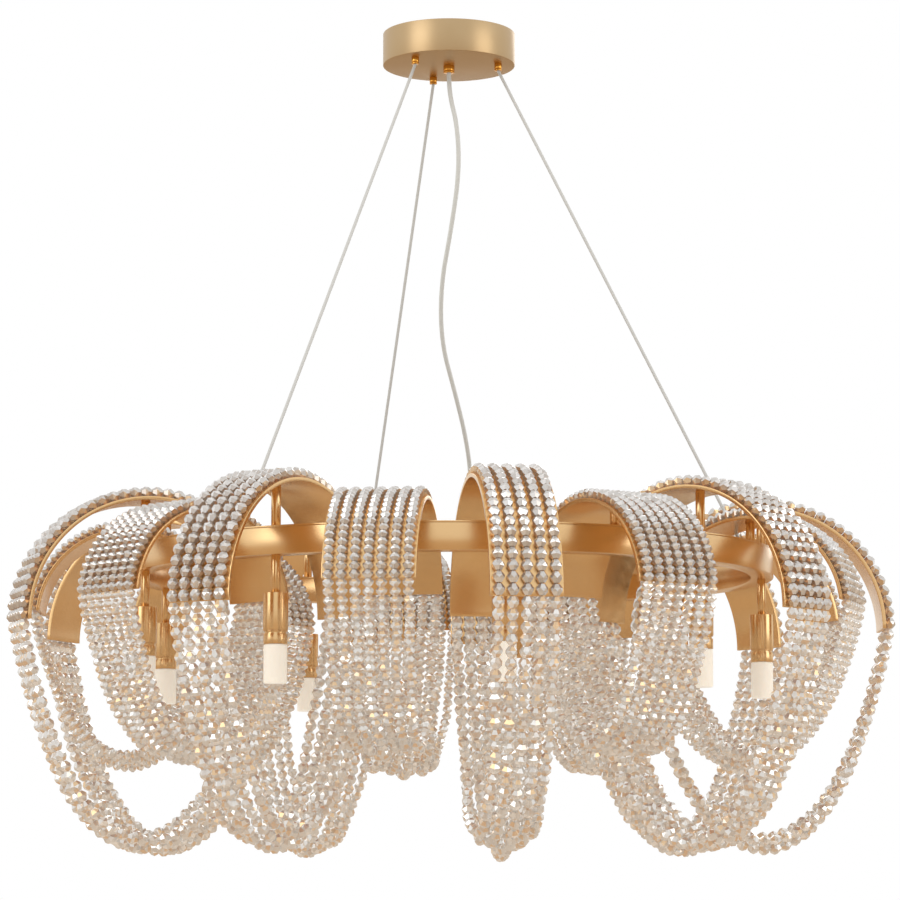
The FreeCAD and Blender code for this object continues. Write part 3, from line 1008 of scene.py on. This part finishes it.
@dataclass
class BeadDress:
    """The bead strings of one kind of arch, over the band and in their free loops."""

    band: ArchBand
    strings: int
    pitch: float
    row: float
    diameter: float
    length: float
    thickness: float
    sag: float
    rise: float
    draw: float = 0.12
    seat_gap: float = 0.3 * MM
    thread: float = 0.6 * MM
    # A bead's cut: its facets round, and its girdle and tips as shares of its size
    sides: int = 6
    girdle: float = 0.3
    tip: float = 0.52
    # Facet tones: how alike the beads are, and which facets of a seated bead get the
    # painted gold reflection
    likeness: float = 0.55
    sideways: float = 0.2
    painted_gold_share: float = 0.22
    # How the loops differ: their lengths, sway, waves and each bead's own place
    unevenness: float = 0.04
    sway: float = 0.28
    waves: Tuple[int, int] = (2, 5)
    jitter: float = 0.04
    # How the loops settle, step by step
    settle_steps: int = 70
    fall: float = 0.02 * MM
    firmness: float = 0.25
    longest_push: float = 1.0 * MM
    pulls: int = 3
    # How far beads turn round their thread, in radians, and where they start to
    loop_twist: float = 0.8
    band_twist: float = 0.05
    slack_share: float = 0.25

    @property
    def reach(self) -> float:
        """The radius of the beads' middle line over the band."""
        return self.band.radius + self.seat_gap + self.thickness / 2

    def bead(self) -> Piece:
        """One bead: a rondelle with a zigzag girdle and flat facets to both tips."""
        half_girdle = self.girdle * self.length / 2
        Bench.clear()
        bpy.ops.mesh.primitive_cylinder_add(vertices=self.sides, depth=2 * half_girdle,
                                            radius=self.diameter / 2)
        bead = Bench.settle("bead")
        for way, end in ((1, looks_up), (-1, looks_down)):
            Bench.pick(bead, end)
            if way > 0:
                bpy.ops.transform.rotate(value=math.pi / self.sides, orient_axis="Z",
                                         center_override=(0.0, 0.0, half_girdle))
            Bench.extrude(0.0, 0.0, way * (self.length / 2 - half_girdle))
            Bench.widen(self.tip, (0.0, 0.0, way * self.length / 2))
        Bench.pick(bead, lambda face: abs(face.calc_center_median().z)
                   < half_girdle / 2)
        bpy.ops.mesh.quads_convert_to_tris()
        Bench.point_outwards()
        Bench.clear()
        bead.data.transform(Matrix.Rotation(math.pi / 2, 4, "Y"))
        return bead

    def band_points(self, side: float) -> np.ndarray:
        """The beads over the band, from its inner foot up and over to its outer foot.

        Args:
            side: How far the string lies from the band's middle.

        Returns:
            One row of x, y, z for each bead.
        """
        first = math.asin(self.band.end_rise / self.reach)
        whole = math.pi - 2 * first
        count = round(whole * self.reach / self.row)
        points = []
        for i in range(count):
            turn = first + (i + 0.5) * whole / count
            points.append((self.band.centre_radius - self.reach * math.cos(turn), side,
                           self.band.centre_level + self.reach * math.sin(turn)))
        return np.array(points)

    def loop_points(self, sag: float, top_side: float, foot_side: float
                    ) -> np.ndarray:
        """The beads of a free loop as a chain first hangs, from outer to inner foot."""
        half = math.sqrt(self.reach ** 2 - self.band.end_rise ** 2)
        size = catenary_size(half, sag)
        length = 2 * size * math.sinh(half / size)
        count = round(length / self.row)
        points = []
        for i in range(count):
            along = length * (0.5 - (i + 0.5) / count)
            across = size * math.asinh(along / size)
            rise = size * (math.cosh(across / size) - 1)
            share = 1 - rise / sag
            side = top_side + (foot_side - top_side) * share ** 2
            points.append((self.band.centre_radius + across, side,
                           self.band.foot - sag + rise))
        return np.array(points)

    def settle(self, chains: List[np.ndarray], bands: List[np.ndarray],
               chance: np.random.Generator) -> List[np.ndarray]:
        """Let the loops hang: keep each chain's spacing and push touching beads apart.

        Args:
            chains: The beads of each free loop.
            bands: The beads of each string over the band, whose ends hold the loop.
            chance: The seeded source of small differences between strings.

        Returns:
            The settled loops.
        """
        held = [np.vstack([band[-1:], chain, band[:1]])
                for chain, band in zip(chains, bands)]
        counts = [len(chain) for chain in held]
        ends = np.cumsum([0] + counts)
        beads = np.vstack(held)
        owner = np.repeat(np.arange(len(held)), counts)
        free = np.ones(len(beads))
        free[ends[:-1]] = 0.0
        free[ends[1:] - 1] = 0.0
        links = np.flatnonzero(owner[:-1] == owner[1:])
        gaps = [np.linalg.norm(np.diff(chain, axis=0), axis=1).mean() for chain in held]
        rest = np.array(gaps)[owner[links]]
        depth = (beads[:, 2].max() - beads[:, 2]) / self.sag
        for k, count in enumerate(counts):
            mine = owner == k
            wave = chance.uniform(-1, 1, 4)
            run = np.linspace(0, 1, count)
            sway = (wave[0] * np.sin(math.tau * (run * self.waves[0] + wave[2]))
                    + wave[1] * np.sin(math.tau * (run * self.waves[1] + wave[3])))
            beads[mine, 1] += sway * self.diameter * self.sway * depth[mine]
        jitter = chance.normal(0, self.jitter * self.diameter, beads.shape)
        beads += jitter * (depth * free)[:, None]
        squash = np.array([1.0, 1.0, self.diameter / self.length])
        other = owner[:, None] != owner[None, :]
        for _ in range(self.settle_steps):
            beads[:, 2] -= free * self.fall
            gap = (beads[:, None, :] - beads[None, :, :]) * squash
            distance = np.linalg.norm(gap, axis=2) + TINY
            push = np.where(other, np.clip(self.diameter - distance, 0, None), 0.0)
            shove = (gap / distance[..., None] * push[..., None]).sum(axis=1)
            beads += np.clip(shove * self.firmness, -self.longest_push,
                             self.longest_push) * free[:, None]
            for odd in (0, 1) * self.pulls:
                pair = links[odd::2]
                line = beads[pair + 1] - beads[pair]
                span = np.linalg.norm(line, axis=1)
                pull = line * ((span - rest[odd::2]) / span)[:, None]
                weight = free[pair] + free[pair + 1] + TINY
                beads[pair] += pull * (free[pair] / weight)[:, None]
                beads[pair + 1] -= pull * (free[pair + 1] / weight)[:, None]
        return [beads[ends[k] + 1:ends[k + 1] - 1] for k in range(len(held))]

    def strings_of(self, chance: np.random.Generator) -> List[np.ndarray]:
        """Every string of one arch as a closed row of bead centres."""
        middle = (self.strings - 1) / 2
        bands = []
        loops = []
        for i in range(self.strings):
            side = (i - middle) * self.pitch
            share = abs(i - middle) / middle
            drawn_up = chance.uniform(0, 1) * self.unevenness
            sag = self.sag * (1 - drawn_up) - self.rise * share
            bands.append(self.band_points(side))
            loops.append(self.loop_points(sag, side, side * (1 - self.draw)))
        loops = self.settle(loops, bands, chance)
        return [np.vstack([band, loop]) for band, loop in zip(bands, loops)]

    def frames(self, centres: np.ndarray, band_count: int,
               chance: np.random.Generator) -> np.ndarray:
        """How each bead of a closed string is turned: along, across and outwards.

        Args:
            centres: The string's bead centres in order.
            band_count: How many of them lie on the band.
            chance: The seeded source of each bead's own twist.

        Returns:
            One 3 by 3 matrix for each bead, with those directions as its columns.
        """
        along = np.roll(centres, -1, axis=0) - np.roll(centres, 1, axis=0)
        along /= np.linalg.norm(along, axis=1)[:, None]
        outward = np.cross(along, np.array([0.0, 1.0, 0.0]))
        outward /= np.linalg.norm(outward, axis=1)[:, None]
        across = np.cross(outward, along)
        count = len(centres) - band_count
        run = np.arange(count)
        slack = np.minimum(
            np.minimum(run, count - 1 - run) / (self.slack_share * count), 1.0)
        twist = np.zeros(len(centres))
        twist[band_count:] = chance.normal(0, self.loop_twist, count) * slack
        twist[:band_count] = chance.normal(0, self.band_twist, band_count)
        cosine, sine = np.cos(twist)[:, None], np.sin(twist)[:, None]
        return np.stack([along, across * cosine + outward * sine,
                         outward * cosine - across * sine], axis=2)

    def painted_facet_tones(self, master: bpy.types.Mesh, free: np.ndarray,
              chance: np.random.Generator) -> np.ndarray:
        """The tone of each facet, from 0 for a painted gold reflection to 1 for a
        painted highlight.

        Args:
            master: The one bead's mesh.
            free: Whether each bead hangs free.
            chance: The seeded source of what isn't alike in all beads.

        Returns:
            One row of tones for each bead.
        """
        facets = len(master.polygons)
        normals = values_of(master.polygons, "normal", float, 3)
        outward = normals[:, 2] > self.sideways
        pattern = np.random.default_rng(self.sides).uniform(0, 1, facets)
        own = chance.uniform(0, 1, (len(free), facets))
        alike = chance.uniform(0, 1, (len(free), facets)) < self.likeness
        mixed = np.where(alike, pattern, own)
        low = self.painted_gold_share
        # A seated bead's facets that look sideways or back get the painted gold
        # reflection, the others the pale tint, painted shade or painted highlight; a
        # free bead's facets take any of them at random.
        seated = np.where(outward, low + (1 - low) * mixed, low * mixed)
        return np.where(free[:, None], mixed, seated)

    def threaded(self, name: str, master: bpy.types.Mesh, strings: List[np.ndarray],
                 chance: np.random.Generator) -> Piece:
        """Copy the one bead to every place on an arch's strings, in one mesh."""
        corners = values_of(master.vertices, "co", float, 3)
        loops = values_of(master.loops, "vertex_index", int)
        starts = values_of(master.polygons, "loop_start", int)
        band_count = len(self.band_points(0.0))
        placed = np.vstack([
            string[:, None, :] + np.einsum(
                "kij,vj->kvi", self.frames(string, band_count, chance), corners)
            for string in strings])
        step = np.arange(len(placed))[:, None]
        mesh = bpy.data.meshes.new(name)
        add_elements(mesh.vertices, "co", placed, 3)
        add_elements(mesh.loops, "vertex_index", loops + step * len(corners))
        add_elements(mesh.polygons, "loop_start", starts + step * len(loops))
        mesh.update(calc_edges=True)
        mesh.shade_flat()
        free = np.concatenate([np.arange(len(s)) >= band_count for s in strings])
        # Each facet's tone, which picks its painted colour from the crystal's ramp.
        painted_facet_tones = self.painted_facet_tones(master, free, chance)
        # Free-hanging beads get the full painted glow.
        painted_glow_share = np.repeat(free.astype(float), len(starts))
        for attribute, values in ((PAINTED_FACET_TONE, painted_facet_tones.ravel()), (PAINTED_GLOW_SHARE, painted_glow_share)):
            layer = mesh.attributes.new(attribute, "FLOAT", "FACE")
            layer.data.foreach_set("value", values)
        return Bench.add(name, mesh)

    def threads(self, name: str, strings: List[np.ndarray]) -> Piece:
        """The thin threads that run through the beads of one arch."""
        curve = bpy.data.curves.new(name, "CURVE")
        curve.dimensions = "3D"
        curve.bevel_depth = self.thread / 2
        curve.bevel_resolution = 0
        for string in strings:
            spline = curve.splines.new("POLY")
            spline.points.add(len(string) - 1)
            for control, point in zip(spline.points, string):
                control.co = (*point, 1.0)
            spline.use_cyclic_u = True
        Bench.take(Bench.add(name, curve))
        bpy.ops.object.convert(target="MESH")
        piece = bpy.context.view_layer.objects.active
        Bench.clear()
        return piece

    def build(self) -> None:
        """String every arch of this kind, each a little differently."""
        master = self.bead()
        kind = self.band.kind.value
        for number, place in enumerate(self.band.places(), 1):
            chance = np.random.default_rng(100 * self.strings + number)
            strings = self.strings_of(chance)
            beads = self.threaded("%s_strings_%d" % (kind, number), master.data,
                                  strings, chance)
            threads = self.threads("%s_threads_%d" % (kind, number), strings)
            for piece, stuff in ((beads, Stuff.CRYSTAL), (threads, Stuff.BEAD_WIRE)):
                piece.data.transform(place)
                dress(piece, stuff, ["%s_beads_%d" % (kind, number)])
        Bench.scrap(master)


# ---------------------------------------------------------------- rods and lamps
@dataclass
class Rods:
    """The posts that carry the arches and the stems that carry the lamp cups."""

    bands: Sequence[ArchBand]
    radius: float = 5 * MM
    sink: float = 0.3 * MM
    overlap: float = 0.5 * MM
    rounding: float = 0.2 * MM
    corner: float = 50.0
    sides: int = 32

    def post(self, band: ArchBand) -> Piece:
        """A post on the ring, cut at its top along the underside of its arch."""
        under = band.radius - band.plate
        off = RING_MIDDLE_RADIUS - band.centre_radius
        height = band.centre_level + math.sqrt(under ** 2 - off ** 2)
        post = Bench.cylinder("post", self.radius, RING_TOP, height + 2 * self.radius,
                              ON_RING, self.sides)
        Bench.take(post)
        bpy.ops.object.mode_set(mode="EDIT")
        slope = Vector((off, 0.0, height - band.centre_level)).normalized()
        Bench.cut(Vector((*ON_RING, height)) + slope * self.sink, slope,
                  clear_outer=True, use_fill=True)
        Bench.clear()
        return post

    def build(self) -> None:
        """Make and dress all posts and stems."""
        rods = []
        for band in self.bands:
            rods += Bench.repeat(self.post(band), "post_%d", band.kind.turns())
        stem = Bench.cylinder("stem", self.radius, CUP_TOP - self.overlap,
                              RING_BOTTOM + self.overlap, ON_RING, self.sides)
        rods += Bench.repeat(stem, "stem_%d", ArchKind.TALL.turns())
        joined = Bench.join(rods, "posts_and_stems")
        Bench.soften(joined, self.rounding, 1, self.corner)
        dress(joined, Stuff.SATIN_GOLD, ["support_rods"])


@dataclass
class LampSet:
    """The nine cups with their collars, and the lamps that pull out of them."""

    cup_radius: float = 13 * MM
    cup_bottom: float = -703 * MM
    cup_wall: float = 1 * MM
    cup_ceiling: float = 2 * MM
    cup_rounding: float = 0.45 * MM
    flange_bottom: float = -704 * MM
    neck_radius: float = 11.2 * MM
    bore_radius: float = 9.7 * MM
    collar_radius: float = 12.5 * MM
    collar_top: float = -706.5 * MM
    collar_ceiling: float = -708 * MM
    collar_bottom: float = -717 * MM
    collar_wall: float = 1.5 * MM
    collar_rounding: float = 0.3 * MM
    lamp_radius: float = 12.2 * MM
    lamp_top: float = -717.3 * MM
    lamp_bottom: float = -757.5 * MM
    lamp_rounding: float = 1.6 * MM
    base_half: Tuple[float, float] = (4 * MM, 7 * MM)
    base_top: float = -690.3 * MM
    base_rounding: float = 0.8 * MM
    pin_top: float = -683.3 * MM
    pin_side: float = 4.5 * MM
    pin_half: Tuple[float, float] = (1.2 * MM, 0.6 * MM)
    pin_rounding: float = 0.3 * MM
    sides: int = 48

    def cup(self) -> Piece:
        """A cup with its collar below it."""
        cup = Bench.cylinder("cup", self.cup_radius, self.cup_bottom, CUP_TOP, ON_RING,
                             self.sides)
        depth = CUP_TOP - self.cup_bottom - self.cup_ceiling
        Bench.hollow(cup, self.cup_wall, depth, upwards=True)
        Bench.soften(cup, self.cup_rounding, 3)
        return Bench.join([cup, self.collar()], "cup")

    def collar(self) -> Piece:
        """The collar: a short tube with a narrow neck and a flange under the cup."""
        collar = Bench.cylinder("collar", self.collar_radius, self.collar_bottom,
                                self.collar_top, ON_RING, self.sides)
        Bench.pick(collar, looks_up)
        bpy.ops.mesh.inset(thickness=self.collar_radius - self.neck_radius)
        Bench.extrude(0.0, 0.0, self.flange_bottom - self.collar_top)
        Bench.extrude(0.0, 0.0, 0.0)
        Bench.widen(self.collar_radius / self.neck_radius,
                    (*ON_RING, self.flange_bottom))
        Bench.extrude(0.0, 0.0, self.cup_bottom - self.flange_bottom)
        bpy.ops.mesh.inset(thickness=self.collar_radius - self.bore_radius)
        Bench.hollow(collar, self.collar_wall, self.collar_ceiling - self.collar_bottom,
                     upwards=True)
        Bench.pick(collar, lambda face: looks_down(face) and abs(
            face.calc_center_median().z - self.collar_ceiling) < NEARLY)
        bpy.ops.mesh.inset(
            thickness=self.collar_radius - self.collar_wall - self.bore_radius)
        Bench.pick(collar, lambda face: (
            face.calc_center_median().xy - Vector(ON_RING)).length < NEARLY)
        bpy.ops.mesh.bridge_edge_loops()
        Bench.soften(collar, self.collar_rounding)
        return collar

    def glass(self) -> Piece:
        """The lamp's frosted envelope, rounded at its lower end."""
        glass = Bench.cylinder("glass", self.lamp_radius, self.lamp_bottom,
                               self.lamp_top, ON_RING, self.sides)
        Bench.soften(glass, self.lamp_rounding, 4)
        return glass

    @staticmethod
    def peg(name: str, half: Tuple[float, float], side: float, bottom: float,
            top: float, rounding: float) -> Piece:
        """A small upright block, off the lamp's axis by its side."""
        x, y = ON_RING[0], ON_RING[1] + side
        peg = Bench.block(name, (x - half[0], y - half[1], bottom),
                          (x + half[0], y + half[1], top))
        Bench.soften(peg, rounding)
        return peg

    def base(self) -> Piece:
        """The lamp's flat base with its two pins."""
        base = self.peg("base", self.base_half, 0.0, self.lamp_top, self.base_top,
                        self.base_rounding)
        pins = [self.peg("pin", self.pin_half, side, self.base_top, self.pin_top,
                         self.pin_rounding) for side in (-self.pin_side, self.pin_side)]
        return Bench.join([base] + pins, "base")

    def build(self) -> None:
        """Make and dress the cups and the lamps."""
        turns = ArchKind.TALL.turns()
        cups = Bench.join(Bench.repeat(self.cup(), "cup_%d", turns), "cups")
        dress(cups, Stuff.SATIN_GOLD, ["lamp_cups"])
        for master, name, stuff in (
                (self.glass(), "lamp_glass_%d", Stuff.FROSTED),
                (self.base(), "lamp_base_%d", Stuff.CERAMIC)):
            for number, piece in enumerate(Bench.repeat(master, name, turns), 1):
                dress(piece, stuff, ["lamp_%d" % number], "lamp_%d_body" % number)


# ---------------------------------------------------------------- assembly
def finish_frame_nodes(nodes: Dict[str, Piece]) -> None:
    """Give the pieces that keep their own solid their finish."""
    for name, stuff in (("ceiling_bracket", Stuff.ZINC), ("fixings", Stuff.ZINC),
                        ("terminal_block", Stuff.PLASTIC),
                        ("lampholders", Stuff.CERAMIC)):
        for slot in nodes[name].material_slots:
            slot.material = stuff.value.material()
        log.info("%s keeps its solid", name)


def main() -> None:
    """Build the chandelier round its frame."""
    logging.basicConfig(level=logging.INFO, format="%(name)s: %(message)s")
    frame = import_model()
    Studio().build()
    Suspension().build()
    CeilingFitting().build()
    Ring().build()
    tall = ArchBand(
        ArchKind.TALL, radius=134.5 * MM, centre_radius=350 * MM,
        centre_level=-682 * MM, end_rise=0.0, twist=-0.9, width=73 * MM)
    short = ArchBand(
        ArchKind.SHORT, radius=101 * MM, centre_radius=358 * MM,
        centre_level=-672 * MM, end_rise=10 * MM, twist=3.4, width=95 * MM)
    for band in (tall, short):
        band.build()
    BeadDress(
        tall, strings=5, pitch=14.28 * MM, row=12.24 * MM, diameter=12.2 * MM,
        length=11.4 * MM, thickness=11 * MM, sag=250 * MM, rise=12 * MM).build()
    BeadDress(
        short, strings=7, pitch=13.34 * MM, row=8.6 * MM, diameter=11.6 * MM,
        length=8.2 * MM, thickness=10.6 * MM, sag=172 * MM, rise=8 * MM).build()
    Rods((tall, short)).build()
    LampSet().build()
    finish_frame_nodes(frame["nodes"])


if __name__ == "__main__":
    main()
